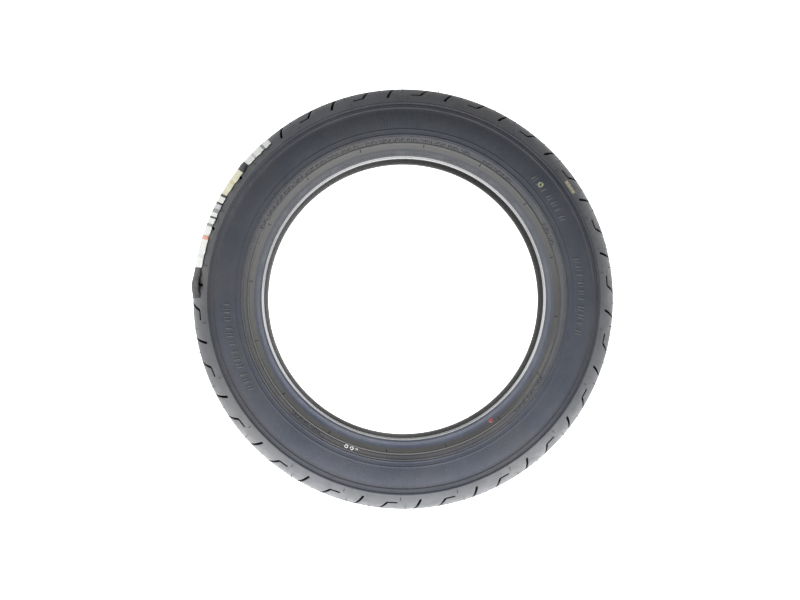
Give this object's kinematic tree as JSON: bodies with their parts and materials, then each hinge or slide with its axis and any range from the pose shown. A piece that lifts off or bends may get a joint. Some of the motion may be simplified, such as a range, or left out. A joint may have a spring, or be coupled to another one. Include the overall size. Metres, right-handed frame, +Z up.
{
  "type": "motorcycle tyre",
  "caption": "Bias-ply motorcycle tyre with hooked and barred slanted tread grooves, moulded sidewalls and a paper tread label.",
  "frame": {"origin": "the wheel centre: on the axle line, in the tyre's centre plane", "axes": "+Y along the axle towards the far sidewall, +Z up through the top of the tyre, +X forwards"},
  "size_m": [0.6556, 0.1234, 0.6554],
  "materials": {
    "inner_liner": "satin",
    "body_ply": "matte",
    "breaker": "matte",
    "tread_base": "matte",
    "tread": "satin",
    "label_paper": "satin",
    "yellow_brown_ink": "matte",
    "yellow_green_paint": "matte",
    "red_paint": "matte",
    "white_ink": "matte",
    "sidewall": "satin",
    "rim_cushion": "satin",
    "chafer": "matte",
    "bead_filler": "matte",
    "bead_wrap": "matte",
    "bead_wire": "satin"
  },
  "bodies": {
    "root": {"inner_liner": "inner_liner", "body_ply_inner": "body_ply", "body_ply_outer": "body_ply", "breaker_inner": "breaker", "breaker_outer": "breaker", "tread_base": "tread_base", "tread_cap": "tread", "vent_spews": "tread", "tread_label": "label_paper", "shoulder_stamp": "yellow_brown_ink", "light_point_dot": "yellow_green_paint", "match_dot": "red_paint", "inspection_stamp": "white_ink", "sidewall_near": "sidewall", "rim_cushion_near": "rim_cushion", "chafer_near": "chafer", "bead_filler_near": "bead_filler", "bead_wrap_near": "bead_wrap", "bead_wires_near": "bead_wire", "sidewall_far": "sidewall", "rim_cushion_far": "rim_cushion", "chafer_far": "chafer", "bead_filler_far": "bead_filler", "bead_wrap_far": "bead_wrap", "bead_wires_far": "bead_wire"}
  },
  "joints": []
}
